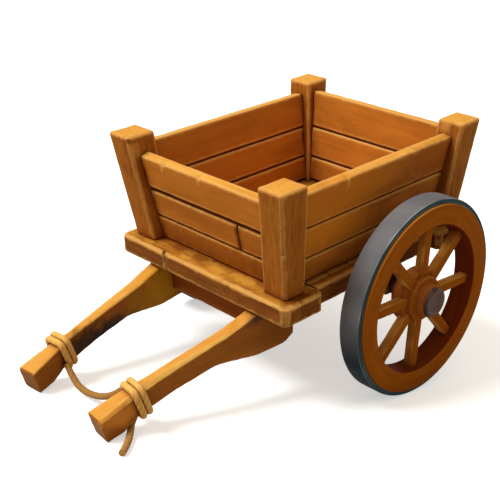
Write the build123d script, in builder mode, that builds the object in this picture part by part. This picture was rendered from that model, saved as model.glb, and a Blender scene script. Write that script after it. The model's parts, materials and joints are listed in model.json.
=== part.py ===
from build123d import *
import os
from math import asin, atan2, cos, degrees, hypot, pi, radians, sin

# A two-wheeled wooden hand cart with a pair of shafts, in millimetres.
# It is laid out level: X runs across the cart, -Y is the way it is pulled, +Z is up,
# and the middle of the axle is the origin. Left is +X, as the person who pulls it sees it.
# At the end every piece is moved by one location to where the cart stands when parked,
# nose down on the tips of its shafts.

# Wheels: positions along the axle are counted outward from the tyre's inner face.
WHEEL_RADIUS = 400
WHEEL_CLEARANCE = 36        # from the widest point of the body to the tyre
TYRE_THICKNESS = 20
TYRE_WIDTH = 90
TYRE_BEVEL = 7
RIM_DEPTH = 80
RIM_BACK = 5                # the rim's inner face lies this far inside the tyre
RIM_PROUD = 10              # the rim's outer face stands this far out of the tyre
RIM_BEVEL = 6
SPOKE_COUNT = 8
SPOKE_PHASE = -5            # degrees from +Y towards +Z
SPOKE_THICKNESS = 40
SPOKE_HUB_WIDTH = 43
SPOKE_RIM_WIDTH = 37
SPOKE_SET_BACK = 28         # from the rim's outer face to the spokes' outer face
SPOKE_BEVEL = 6
HUB_BARREL_RADIUS = 110
HUB_STEP_RADIUS = 90
HUB_NECK_RADIUS = 65
HUB_TAIL_RADIUS = 78
HUB_TAIL_START = -20
HUB_BARREL_START = 8
HUB_BARREL_END = 64
HUB_STEP_END = 88
HUB_NECK_END = 120
HUB_BEVEL = 6
CAP_RADIUS = 58
CAP_DEPTH = 18
CAP_BEVEL = 6

# Axle: a square iron bar let into the underside of a wooden bed, with round arms.
ARM_RADIUS = 22
ARM_CLEARANCE = 0.05        # running clearance all round in the hub's bore
ARM_END_CLEARANCE = 2
BAR_SIZE = 46
COLLAR_RADIUS = 42
COLLAR_THICKNESS = 10
HUB_SIDE_CLEARANCE = 1
BED_WIDTH = 104
BED_OVERHANG = 16           # past the side sills' outer faces
BED_BEVEL = 6

# Body frame
SILL_BOTTOM = 68            # above the axle's centre
SILL_THICKNESS = 81
SILL_WIDTH = 204
SILL_HALF_LENGTH = 464
SILL_BEVEL = 9
SILL_CORNER_BEVEL = 19      # the four upright corners of an end sill
FRONT_SILL_Y = -536
REAR_SILL_Y = 352
CRACK_X = -204              # an old split in the front sill's front face, at its top
CRACK_LEAN = 28             # further across at its bottom
CRACK_WIDTH = 11
CRACK_DEPTH = 13
SIDE_SILL_X = 390
SIDE_SILL_WIDTH = 70
SIDE_SILL_BEVEL = 6
SIDE_SILL_REBATE = 30       # width of the step that carries the floor boards' ends
FLOOR_THICKNESS = 20
FLOOR_BOARDS = 6
FLOOR_GAP = 3
FLOOR_BEVEL = 2
CROSSBEAM_THICKNESS = 60
CROSSBEAM_DEPTH = 128
CROSSBEAM_SET_BACK = 86     # from the front sill's front face
CROSSBEAM_BEVEL = 6

# Corner posts: they lean outward both ways and thicken towards the top.
POST_FOOT_WIDTH = 115       # across the cart
POST_FOOT_DEPTH = 109       # along it
POST_HEAD_WIDTH = 120
POST_HEAD_DEPTH_FRONT = 137
POST_HEAD_DEPTH_REAR = 125
POST_HEIGHT = 437
POST_X = 361
POST_OUTWARD = 3            # the feet stand this far outside the end sills' middles
POST_FLARE_X = 47
POST_FLARE_FRONT = 56
POST_FLARE_REAR = 51
POST_BEVEL = 8

# Wall boards: the walls lean out a little more than the posts that hold them.
BOARD_THICKNESS = 46
BOARD_BEVEL = 5
FRONT_ROWS = (
    # row, gap below it, height
    ("bottom", 4, 96),
    ("middle", 9, 106),
    ("top", 16, 132),
)
REAR_ROWS = (("bottom", 4, 97), ("middle", 8, 126), ("top", 8, 152))
SIDE_ROWS = (("bottom", 4, 97), ("middle", 8, 124), ("top", 8, 143))
END_WALL_RECESS = 52        # behind the posts' outer faces at the foot
SIDE_WALL_RECESS = 54
WALL_FLARE_FRONT = 88       # outward lean over the posts' height
WALL_FLARE_REAR = 70
WALL_FLARE_SIDE = 70
FRONT_JOINT_X = 165         # butt joint in the front wall's middle row

# Shafts: seen from the side, points are (forward from the front sill's middle, drop
# below the sill), and the radius rounds that corner.
SHAFT_ROOT_X = 284
SHAFT_SPLAY = 6             # degrees, the shafts close in towards their tips
SHAFT_TAIL = -91
SHAFT_SIDE = (
    # forward, drop, radius
    (SHAFT_TAIL, 0, 3),
    (75, 0, 60),
    (210, 42, 250),
    (590, 117, 120),
    (760, 168, 6),
    (735, 262, 6),
    (664, 253, 20),
    (606, 223, 20),
    (446, 184, 280),
    (262, 149, 150),
    (80, 176, 100),
    (-48, 170, 50),
    (SHAFT_TAIL, 140, 22),
)
SHAFT_PLAN = (
    # forward, half width, radius
    (150, 30, 300),
    (430, 24.5, 300),
    (570, 26, 60),
    (625, 34, 60),
)
SHAFT_TAIL_WIDTH = 66
SHAFT_TIP_WIDTH = 88
SHAFT_FACET_ROOT = 4        # the facet along the upper outer corner widens from the
SHAFT_FACET_TIP = 17        # root towards the handle's end

# Rope
ROPE_DIAMETER = 25
ROPE_SIDES = 8
LASHING_FORWARD = 586       # along the shaft, counted as in SHAFT_SIDE
LASHING_DROP = 162
LASHING_WIDTH = 56
LASHING_DEPTH = 92
LASHING_SLOPE = 17          # degrees that the shaft points down there
LASHING_PITCH = 25.6
LASHING_CORNER = 11         # cut off each corner of a turn
ROPE_ROUTE = (
    # across from the middle, forward of the lashings, drop below their centres
    (-178, 12, 36),
    (-130, 20, 76),
    (-76, 23, 95),
    (-12, 22, 88),
    (46, 19, 70),
    (96, 14, 43),
    (140, 9, 8),
    (176, 5, -28),
)
TAIL_ROUTE = (
    # outward and forward of the left lashing's centre, up from the floor
    (-10, -8, 51),
    (-5, 8, 30),
    (16, 29, 17),
    (48, 58, 12.7),
    (86, 100, 12.9),
    (118, 144, 12.7),
)

# Worked out from the sizes above
sill_top = SILL_BOTTOM + SILL_THICKNESS
post_top = sill_top + POST_HEIGHT
front_post_y = FRONT_SILL_Y - POST_OUTWARD
rear_post_y = REAR_SILL_Y + POST_OUTWARD
floor_bottom = sill_top - FLOOR_THICKNESS
floor_half_width = SIDE_SILL_X - SIDE_SILL_WIDTH / 2 + SIDE_SILL_REBATE
bay_front = FRONT_SILL_Y + SILL_WIDTH / 2
bay_rear = REAR_SILL_Y - SILL_WIDTH / 2
bay_length = bay_rear - bay_front
bay_middle = (bay_front + bay_rear) / 2
body_half_width = max(POST_X + POST_FLARE_X + POST_HEAD_WIDTH / 2, SILL_HALF_LENGTH)
wheel_x = body_half_width + WHEEL_CLEARANCE
rim_radius = WHEEL_RADIUS - TYRE_THICKNESS
rim_width = TYRE_WIDTH - RIM_BACK + RIM_PROUD
spoke_middle = TYRE_WIDTH + RIM_PROUD - SPOKE_SET_BACK - SPOKE_THICKNESS / 2
bar_half_length = wheel_x + HUB_TAIL_START - HUB_SIDE_CLEARANCE

# The rope's solid has as many sides as ROPE_SIDES and the round rope's area
rope_corner_radius = ROPE_DIAMETER / 2 * (2 * pi / ROPE_SIDES / sin(2 * pi / ROPE_SIDES)) ** 0.5

SIDES = (("left", 1), ("right", -1))
os.makedirs("parts", exist_ok=True)
pieces = {}


def keep(name, part):
    """Label a finished piece and put it on the list of pieces."""
    part.label = name
    pieces[name] = part


def revolved(outline):
    """Turn an outline of (along the axle, radius) points about the axle."""
    with BuildPart() as turned:
        with BuildSketch(Plane.XY):
            with BuildLine():
                Polyline(*outline, close=True)
            make_face()
        revolve(axis=Axis.X)
    return turned.part


# End sills, the two broad planks that the posts stand on
for name, sill_y in (("front_sill", FRONT_SILL_Y), ("rear_sill", REAR_SILL_Y)):
    with BuildPart() as sill:
        with BuildSketch(Plane.XY.offset(SILL_BOTTOM)):
            with Locations((0, sill_y)):
                Rectangle(2 * SILL_HALF_LENGTH, SILL_WIDTH)
        extrude(amount=SILL_THICKNESS)
        chamfer(sill.edges().filter_by(Axis.Z), SILL_CORNER_BEVEL)
        chamfer(sill.faces().filter_by(Axis.Z).edges(), SILL_BEVEL)
        if name == "front_sill":
            face_y = sill_y - SILL_WIDTH / 2
            for height, crack_x in ((SILL_BOTTOM, CRACK_X + CRACK_LEAN), (sill_top, CRACK_X)):
                with BuildSketch(Plane.XY.offset(height)):
                    Polygon((crack_x - CRACK_WIDTH / 2, face_y), (crack_x + CRACK_WIDTH / 2, face_y),
                            (crack_x, face_y + CRACK_DEPTH), align=None)
            loft(ruled=True, mode=Mode.SUBTRACT)
    keep(name, sill.part)

# Side sills between the end sills, with a step for the ends of the floor boards
for side, across in SIDES:
    with BuildPart() as sill:
        with BuildSketch(Plane.XY.offset(SILL_BOTTOM)):
            with Locations((across * SIDE_SILL_X, bay_middle)):
                Rectangle(SIDE_SILL_WIDTH, bay_length)
        extrude(amount=SILL_THICKNESS)
        outer_face = sill.faces().filter_by(Axis.X).sort_by(Axis.X)[-1 if across > 0 else 0]
        chamfer(outer_face.edges().filter_by(Axis.Y), SIDE_SILL_BEVEL)
        with BuildSketch(Plane.XY.offset(floor_bottom)):
            with Locations((0, bay_middle)):
                Rectangle(2 * floor_half_width, bay_length)
        extrude(amount=FLOOR_THICKNESS, mode=Mode.SUBTRACT)
    keep(f"side_sill_{side}", sill.part)

with BuildPart() as centre_sill:
    with BuildSketch(Plane.XY.offset(SILL_BOTTOM)):
        with Locations((0, bay_middle)):
            Rectangle(SIDE_SILL_WIDTH, bay_length)
    extrude(amount=floor_bottom - SILL_BOTTOM)
keep("centre_sill", centre_sill.part)

# Floor boards lie across the centre sill, between the side sills' steps
floor_pitch = (bay_length + FLOOR_GAP) / FLOOR_BOARDS
for number in range(FLOOR_BOARDS):
    board_y = bay_front + floor_pitch * (number + 0.5) - FLOOR_GAP / 2
    with BuildPart() as board:
        with BuildSketch(Plane.XY.offset(floor_bottom)):
            with Locations((0, board_y)):
                Rectangle(2 * floor_half_width, floor_pitch - FLOOR_GAP)
        extrude(amount=FLOOR_THICKNESS)
        chamfer(board.faces().sort_by(Axis.Z)[-1].edges(), FLOOR_BEVEL)
    keep(f"floor_board_{number + 1}", board.part)

# Corner posts
CORNERS = (
    # name, across, post's foot along the cart, flare along the cart, head's depth
    ("front_left", 1, front_post_y, -POST_FLARE_FRONT, POST_HEAD_DEPTH_FRONT),
    ("front_right", -1, front_post_y, -POST_FLARE_FRONT, POST_HEAD_DEPTH_FRONT),
    ("rear_left", 1, rear_post_y, POST_FLARE_REAR, POST_HEAD_DEPTH_REAR),
    ("rear_right", -1, rear_post_y, POST_FLARE_REAR, POST_HEAD_DEPTH_REAR),
)
for name, across, foot_y, flare_y, head_depth in CORNERS:
    with BuildPart() as post:
        with BuildSketch(Plane.XY.offset(sill_top)):
            with Locations((across * POST_X, foot_y)):
                Rectangle(POST_FOOT_WIDTH, POST_FOOT_DEPTH)
        with BuildSketch(Plane.XY.offset(post_top)):
            with Locations((across * (POST_X + POST_FLARE_X), foot_y + flare_y)):
                Rectangle(POST_HEAD_WIDTH, head_depth)
        loft(ruled=True)
        foot_edges = post.edges().group_by(Axis.Z)[0]
        chamfer(post.edges() - foot_edges, POST_BEVEL)
    keep(f"post_{name}", post.part)

# Walls: three rows of boards let in between the posts
end_wall_run = POST_X + POST_FLARE_X / 2
side_wall_run = (rear_post_y - front_post_y + POST_FLARE_FRONT) / 2
WALLS = (
    # name, outward, foot of the outer face, flare, half run, posts, rows
    ("front", (0, -1), -front_post_y + POST_FOOT_DEPTH / 2 - END_WALL_RECESS, WALL_FLARE_FRONT,
     end_wall_run, ("front_left", "front_right"), FRONT_ROWS),
    ("rear", (0, 1), rear_post_y + POST_FOOT_DEPTH / 2 - END_WALL_RECESS, WALL_FLARE_REAR,
     end_wall_run, ("rear_left", "rear_right"), REAR_ROWS),
    ("left", (1, 0), POST_X + POST_FOOT_WIDTH / 2 - SIDE_WALL_RECESS, WALL_FLARE_SIDE,
     side_wall_run, ("front_left", "rear_left"), SIDE_ROWS),
    ("right", (-1, 0), POST_X + POST_FOOT_WIDTH / 2 - SIDE_WALL_RECESS, WALL_FLARE_SIDE,
     side_wall_run, ("front_right", "rear_right"), SIDE_ROWS),
)
side_wall_middle = (front_post_y + rear_post_y) / 2
for wall, outward, foot_out, flare, half_run, post_names, rows in WALLS:
    out = Vector(*outward, 0)
    up_slope = (out * flare + Vector(0, 0, POST_HEIGHT)).normalized()
    along = Vector(0, 0, 1).cross(out)
    middle = Vector(0, 0 if outward[0] == 0 else side_wall_middle, 0)
    face = Plane(out * foot_out + middle + Vector(0, 0, sill_top), x_dir=along,
                 z_dir=along.cross(up_slope))
    low = 0
    for row, gap, height in rows:
        low += gap
        spans = [(row, -half_run, half_run)]
        if wall == "front" and row == "middle":
            spans = [("middle_long", -half_run, FRONT_JOINT_X), ("middle_short", FRONT_JOINT_X, half_run)]
        for span_name, start, end in spans:
            with BuildPart() as board:
                with BuildSketch(face):
                    with Locations(((start + end) / 2, low + height / 2)):
                        Rectangle(end - start, height)
                extrude(amount=-BOARD_THICKNESS)
                chamfer(board.edges(), BOARD_BEVEL)
                for post_name in post_names:
                    add(pieces[f"post_{post_name}"], mode=Mode.SUBTRACT)
            keep(f"{wall}_board_{span_name}", board.part)
        low += height

# Shafts: a side outline cut to a plan outline, each on its own splayed plane
shaft_outline = [(forward, SILL_BOTTOM - drop) for forward, drop, radius in SHAFT_SIDE]
shaft_radii = [radius for forward, drop, radius in SHAFT_SIDE]
shaft_tip = max(forward for forward, drop, radius in SHAFT_SIDE)
plan_edges = {}
for edge, sign in (("right", -1), ("left", 1)):
    plan_edges[edge] = [(SHAFT_TAIL, sign * SHAFT_TAIL_WIDTH / 2)]
    plan_edges[edge] += [(forward, sign * half_width) for forward, half_width, radius in SHAFT_PLAN]
    plan_edges[edge] += [(shaft_tip, sign * SHAFT_TIP_WIDTH / 2)]
plan_radii = [radius for forward, half_width, radius in SHAFT_PLAN]
shaft_top = sorted((forward, drop) for forward, drop, radius in SHAFT_SIDE[:5])
half_widths = [(SHAFT_TAIL, SHAFT_TAIL_WIDTH / 2)]
half_widths += [(forward, half_width) for forward, half_width, radius in SHAFT_PLAN]
half_widths += [(shaft_tip, SHAFT_TIP_WIDTH / 2)]


def between(table, place):
    """Read a table of straight runs, continued past its last point."""
    first, last = table[-2:]
    for before, after in zip(table, table[1:]):
        if before[0] <= place <= after[0]:
            first, last = before, after
    return first[1] + (last[1] - first[1]) * (place - first[0]) / (last[0] - first[0])


facet_start = shaft_top[2][0]
facet_end = shaft_tip + SHAFT_FACET_TIP
facet_places = {forward for forward, value in shaft_top + half_widths if facet_start < forward < shaft_tip}
facet_places = sorted(facet_places | {facet_start, facet_end})
shaft_planes = {}
for side, across in SIDES:
    forward_dir = Vector(-across * sin(radians(SHAFT_SPLAY)), -cos(radians(SHAFT_SPLAY)), 0)
    root = Vector(across * SHAFT_ROOT_X, FRONT_SILL_Y, 0)
    outward_dir = Vector(across * cos(radians(SHAFT_SPLAY)), -sin(radians(SHAFT_SPLAY)), 0)
    upright = Plane(root, x_dir=forward_dir, z_dir=forward_dir.cross(Vector(0, 0, 1)))
    level = Plane(root, x_dir=forward_dir, z_dir=(0, 0, 1))
    shaft_planes[side] = upright
    with BuildPart() as shaft:
        with BuildSketch(upright):
            with BuildLine():
                FilletPolyline(*shaft_outline, radius=shaft_radii, close=True)
            make_face()
        extrude(amount=SHAFT_TIP_WIDTH, both=True)
        with BuildSketch(level):
            with BuildLine():
                right_edge = FilletPolyline(*plan_edges["right"], radius=plan_radii)
                left_edge = FilletPolyline(*plan_edges["left"], radius=plan_radii)
                Line(right_edge @ 0, left_edge @ 0)
                Line(right_edge @ 1, left_edge @ 1)
            make_face()
        extrude(amount=WHEEL_RADIUS, both=True, mode=Mode.INTERSECT)
        for forward in facet_places:
            share = (forward - facet_start) / (facet_end - facet_start)
            facet = SHAFT_FACET_ROOT + (SHAFT_FACET_TIP - SHAFT_FACET_ROOT) * share
            top = SILL_BOTTOM - between(shaft_top, forward)
            outer = between(half_widths, forward)
            reach = facet + SHAFT_FACET_TIP
            with BuildSketch(Plane(root + forward_dir * forward, x_dir=outward_dir, z_dir=across * forward_dir)):
                Polygon((outer - reach, top + SHAFT_FACET_TIP), (outer + SHAFT_FACET_TIP, top - reach),
                        (outer + SHAFT_FACET_TIP, top + SHAFT_FACET_TIP), align=None)
        loft(ruled=True, mode=Mode.SUBTRACT)
    keep(f"shaft_{side}", shaft.part)

# Crossbeam between the shafts, under the front sill
crossbeam_y = FRONT_SILL_Y - SILL_WIDTH / 2 + CROSSBEAM_SET_BACK + CROSSBEAM_THICKNESS / 2
with BuildPart() as crossbeam:
    with BuildSketch(Plane.XY.offset(SILL_BOTTOM)):
        with Locations((0, crossbeam_y)):
            Rectangle(2 * SHAFT_ROOT_X, CROSSBEAM_THICKNESS)
    extrude(amount=-CROSSBEAM_DEPTH)
    chamfer(crossbeam.faces().sort_by(Axis.Z)[0].edges().filter_by(Axis.X), CROSSBEAM_BEVEL)
    for side, across in SIDES:
        add(pieces[f"shaft_{side}"], mode=Mode.SUBTRACT)
keep("front_crossbeam", crossbeam.part)

# Axle bed under the sills, with a channel for the iron bar
bed_half_length = SIDE_SILL_X + SIDE_SILL_WIDTH / 2 + BED_OVERHANG
with BuildPart() as bed:
    with BuildSketch(Plane.XY.offset(SILL_BOTTOM)):
        Rectangle(2 * bed_half_length, BED_WIDTH)
    extrude(amount=-SILL_BOTTOM - BAR_SIZE / 2)
    chamfer(bed.edges().filter_by(Axis.Z), BED_BEVEL)
    Box(2 * bed_half_length, BAR_SIZE, BAR_SIZE, mode=Mode.SUBTRACT)
keep("axle_bed", bed.part)

# Iron axle: square bar, a collar at each shoulder and the two round arms
arm_end = wheel_x + HUB_NECK_END - ARM_END_CLEARANCE
with BuildPart() as axle:
    Box(2 * (bar_half_length - COLLAR_THICKNESS), BAR_SIZE, BAR_SIZE)
    with BuildSketch(Plane.YZ):
        Circle(ARM_RADIUS)
    extrude(amount=arm_end, both=True)
    for side, across in SIDES:
        with BuildSketch(Plane.YZ.offset(across * (bar_half_length - COLLAR_THICKNESS / 2))):
            Circle(COLLAR_RADIUS)
        extrude(amount=COLLAR_THICKNESS / 2, both=True)
keep("axle_bar", axle.part)

# Wheels
bore = ARM_RADIUS + ARM_CLEARANCE
HUB_OUTLINE = (
    # along the axle, radius
    (HUB_TAIL_START, bore),
    (HUB_TAIL_START, HUB_TAIL_RADIUS),
    (HUB_BARREL_START, HUB_BARREL_RADIUS),
    (HUB_BARREL_END - HUB_BEVEL, HUB_BARREL_RADIUS),
    (HUB_BARREL_END, HUB_BARREL_RADIUS - HUB_BEVEL),
    (HUB_BARREL_END, HUB_STEP_RADIUS),
    (HUB_STEP_END - HUB_BEVEL, HUB_STEP_RADIUS),
    (HUB_STEP_END, HUB_STEP_RADIUS - HUB_BEVEL),
    (HUB_STEP_END, HUB_NECK_RADIUS),
    (HUB_NECK_END, HUB_NECK_RADIUS),
    (HUB_NECK_END, bore),
)
cap_face = HUB_NECK_END + CAP_DEPTH
CAP_OUTLINE = (
    # along the axle, radius
    (HUB_NECK_END, 0),
    (HUB_NECK_END, CAP_RADIUS),
    (cap_face - CAP_BEVEL, CAP_RADIUS),
    (cap_face, CAP_RADIUS - CAP_BEVEL),
    (cap_face, 0),
)
for side, across in SIDES:
    with BuildPart() as tyre:
        with BuildSketch(Plane.XY) as tyre_section:
            with Locations((across * (wheel_x + TYRE_WIDTH / 2), WHEEL_RADIUS - TYRE_THICKNESS / 2)):
                Rectangle(TYRE_WIDTH, TYRE_THICKNESS)
            chamfer(tyre_section.vertices().group_by(Axis.Y)[-1], TYRE_BEVEL)
        revolve(axis=Axis.X)
    keep(f"tyre_{side}", tyre.part)

    with BuildPart() as rim:
        with BuildSketch(Plane.XY) as rim_section:
            with Locations((across * (wheel_x + RIM_BACK + rim_width / 2), rim_radius - RIM_DEPTH / 2)):
                Rectangle(rim_width, RIM_DEPTH)
            chamfer(rim_section.vertices().group_by(Axis.X)[-1 if across > 0 else 0], RIM_BEVEL)
        revolve(axis=Axis.X)
    keep(f"rim_{side}", rim.part)

    keep(f"hub_{side}", revolved([(across * (wheel_x + x), r) for x, r in HUB_OUTLINE]))
    keep(f"hub_cap_{side}", revolved([(across * (wheel_x + x), r) for x, r in CAP_OUTLINE]))

    spoke_outline = [
        (HUB_NECK_RADIUS, -SPOKE_HUB_WIDTH / 2),
        (rim_radius - RIM_DEPTH / 2, -SPOKE_RIM_WIDTH / 2),
        (rim_radius - RIM_DEPTH / 2, SPOKE_RIM_WIDTH / 2),
        (HUB_NECK_RADIUS, SPOKE_HUB_WIDTH / 2),
    ]
    with BuildPart() as spokes:
        with BuildSketch(Plane.YZ.offset(across * (wheel_x + spoke_middle))):
            with PolarLocations(0, SPOKE_COUNT, start_angle=SPOKE_PHASE):
                Polygon(*spoke_outline, align=None)
        extrude(amount=SPOKE_THICKNESS / 2, both=True)
        long_edges = spokes.edges().filter_by(lambda edge: edge.length > RIM_DEPTH)
        chamfer(long_edges, SPOKE_BEVEL)
        add(pieces[f"hub_{side}"], mode=Mode.SUBTRACT)
        add(pieces[f"rim_{side}"], mode=Mode.SUBTRACT)
    keep(f"spokes_{side}", spokes.part)

# The parked stance: turned about the axle until a shaft's lowest corner is on the floor
tip_corners = [v for v in pieces["shaft_left"].vertices() if v.Y < -2 * WHEEL_RADIUS]
stance = min(degrees(asin(WHEEL_RADIUS / hypot(v.Y, v.Z)) - atan2(-v.Z, -v.Y)) for v in tip_corners)
turned = Location((0, 0, WHEEL_RADIUS), (stance, 0, 0))
box = Compound([piece.moved(turned) for piece in pieces.values()]).bounding_box()
parked = Location((0, -(box.min.Y + box.max.Y) / 2, WHEEL_RADIUS), (stance, 0, 0))

# Rope: two turns round each shaft, a slack length between them and a loose tail
lashing_centres = {}
for side, across in SIDES:
    upright = shaft_planes[side]
    centre = upright.from_local_coords(Vector(LASHING_FORWARD, SILL_BOTTOM - LASHING_DROP, 0))
    slope = radians(LASHING_SLOPE)
    run = (upright.x_dir * cos(slope) - Vector(0, 0, sin(slope))).normalized()
    lashing_centres[side] = centre
    out = (LASHING_WIDTH + ROPE_DIAMETER) / 2
    deep = (LASHING_DEPTH + ROPE_DIAMETER) / 2
    out_cut = out - LASHING_CORNER
    deep_cut = deep - LASHING_CORNER
    corners = ((0, -deep), (out_cut, -deep), (out, -deep_cut), (out, deep_cut), (out_cut, deep),
               (-out_cut, deep), (-out, deep_cut), (-out, -deep_cut), (-out_cut, -deep))
    with BuildPart() as lashing:
        for turn in (-0.5, 0.5):
            ring = Plane(centre + run * LASHING_PITCH * turn, x_dir=upright.z_dir, z_dir=run)
            with BuildLine(ring) as loop:
                Polyline(*corners, close=True)
            with BuildSketch(Plane(loop.wires()[0] @ 0, z_dir=loop.wires()[0] % 0)):
                RegularPolygon(rope_corner_radius, ROPE_SIDES)
            sweep(path=loop.wires()[0], transition=Transition.RIGHT)
    keep(f"rope_lashing_{side}", lashing.part)


def cord(name, points):
    """Sweep the rope's section along straight runs joined by arcs, as large as they fit."""
    radii = []
    for before, here, after in zip(points, points[1:], points[2:]):
        first = here - before
        second = after - here
        turn = radians(first.get_angle(second))
        radii.append(0.45 * min(first.length, second.length) / (sin(turn / 2) / cos(turn / 2)))
    with BuildPart() as tube:
        with BuildLine() as path:
            FilletPolyline(*points, radius=radii)
        with BuildSketch(Plane(points[0], z_dir=points[1] - points[0])):
            RegularPolygon(rope_corner_radius, ROPE_SIDES)
        sweep(path=path.wires()[0])
    length = path.wires()[0].length
    full = length * pi * ROPE_DIAMETER ** 2 / 4
    print(name, "length", round(length), "radii", [round(r) for r in radii],
          "volume share", round(tube.part.volume / full, 4))
    return tube.part


lashing_middle = (lashing_centres["left"] + lashing_centres["right"]) / 2
route = [lashing_middle + Vector(x, -forward, -drop) for x, forward, drop in ROPE_ROUTE]
keep("tow_rope", cord("tow_rope", route))

for name, piece in pieces.items():
    piece = piece.moved(parked)
    piece.label = name
    export_step(piece, f"parts/{name}.step")

tail_foot = (parked * Location(lashing_centres["left"])).position
tail = [Vector(tail_foot.X + out, tail_foot.Y - forward, up) for out, forward, up in TAIL_ROUTE]
rope_tail = cord("rope_tail", tail)
rope_tail.label = "rope_tail"
export_step(rope_tail, "parts/rope_tail.step")
print("parked", round(stance, 3), "degrees, shifted", round(parked.position.Y, 2))
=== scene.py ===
"""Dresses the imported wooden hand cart: hewn timber, iron-tyred wheels and laid rope.

Every solid of the part is replaced by a piece of the same place and size that has rounded,
worn edges, tool marks and a grain that follows the timber. Lengths in the classes are in
millimetres and in the cart's own level frame, whose origin is the middle of the axle: X to
the cart's left, -Y the way it is pulled, +Z up. One matrix takes them to the parked cart.
"""

import json
import logging
import math
from collections.abc import Iterable, Mapping, Sequence
from dataclasses import dataclass, field
from enum import Enum
from typing import Any

import bmesh
import bpy
import numpy as np
from mathutils import Matrix, Vector, noise


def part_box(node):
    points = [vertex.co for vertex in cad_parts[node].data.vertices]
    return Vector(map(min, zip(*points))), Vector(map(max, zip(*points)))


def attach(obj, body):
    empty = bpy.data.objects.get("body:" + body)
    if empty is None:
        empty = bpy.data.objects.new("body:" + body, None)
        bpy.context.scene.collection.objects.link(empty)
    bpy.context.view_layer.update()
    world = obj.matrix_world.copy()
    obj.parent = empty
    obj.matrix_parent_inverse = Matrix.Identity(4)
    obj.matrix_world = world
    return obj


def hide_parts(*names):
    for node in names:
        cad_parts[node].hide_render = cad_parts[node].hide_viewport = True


Pair = tuple[float, float]
Point = tuple[float, float, float]
Tones = tuple[str, str, str]
Mesh = bmesh.types.BMesh
Vert = bmesh.types.BMVert
Edge = bmesh.types.BMEdge
Socket = bpy.types.NodeSocket

MM = 0.001
FULL_TURN = 2 * math.pi
WHITE = (1.0, 1.0, 1.0, 1.0)
WANDER_PITCH = 9.0          # waves in a metre, of the hewn faces
BITE_PITCH = 34.0           # the same, of the worn corners
BITE_REACH = 7.0            # how far from a corner its wear reaches, mm
PAINT_PITCH = 45.0          # waves in a metre, of a patch's ragged end
PAINT_RAGGED = 0.35         # how far they reach, in the patch's own reach
log = logging.getLogger("cart")
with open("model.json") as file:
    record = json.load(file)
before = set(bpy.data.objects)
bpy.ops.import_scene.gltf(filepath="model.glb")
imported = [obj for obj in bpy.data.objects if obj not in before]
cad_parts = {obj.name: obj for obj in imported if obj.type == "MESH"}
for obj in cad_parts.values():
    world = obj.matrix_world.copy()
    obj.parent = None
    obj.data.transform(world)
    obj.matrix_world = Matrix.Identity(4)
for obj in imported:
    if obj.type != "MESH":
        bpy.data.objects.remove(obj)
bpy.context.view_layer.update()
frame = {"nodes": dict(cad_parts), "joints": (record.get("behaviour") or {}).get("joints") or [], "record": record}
SLOTS: dict[str, str] = {
    part["node"]: part["material_slot"] for part in frame["record"]["subparts"]}


class Side(Enum):
    """The cart's two sides, as the person who pulls it sees them."""

    LEFT = 1
    RIGHT = -1

    @property
    def word(self) -> str:
        """The side's name as the nodes spell it."""
        return self.name.lower()


class Along(Enum):
    """The level axis that a timber's grain follows."""

    ACROSS = 0
    LENGTHWAYS = 1
    UPRIGHT = 2


class Body(Enum):
    """The bodies that move on their own."""

    CART = "cart"
    WHEEL_LEFT = "wheel_left"
    WHEEL_RIGHT = "wheel_right"


def parked_stance() -> Matrix:
    """Works out how the cart is parked: turned nose down about its axle.

    Returns:
        The matrix from the level frame to the parked one. Its turn is read from the bed's
        mount and its place from the wheels' joint.
    """
    mounts = {mount["name"]: mount["axis"] for mount in frame["record"]["mounts"]}
    bed = mounts["bed_floor"]
    axle = Vector(frame["joints"][0]["pos_m"])
    return Matrix.Translation(axle) @ Matrix.Rotation(math.atan2(-bed[1], bed[2]), 4, "X")


PARKED = parked_stance()


def hex_to_linear(code: str, alpha: float = 1.0) -> tuple[float, float, float, float]:
    """Turns an sRGB colour into the linear one that shaders take.

    Args:
        code: The colour as "#rrggbb".
        alpha: Its fourth number.

    Returns:
        Red, green, blue and alpha.
    """
    parts = [int(code[i:i + 2], 16) / 255 for i in (1, 3, 5)]
    red, green, blue = [
        p / 12.92 if p <= 0.04045 else ((p + 0.055) / 1.055) ** 2.4 for p in parts]
    return red, green, blue, alpha


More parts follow.
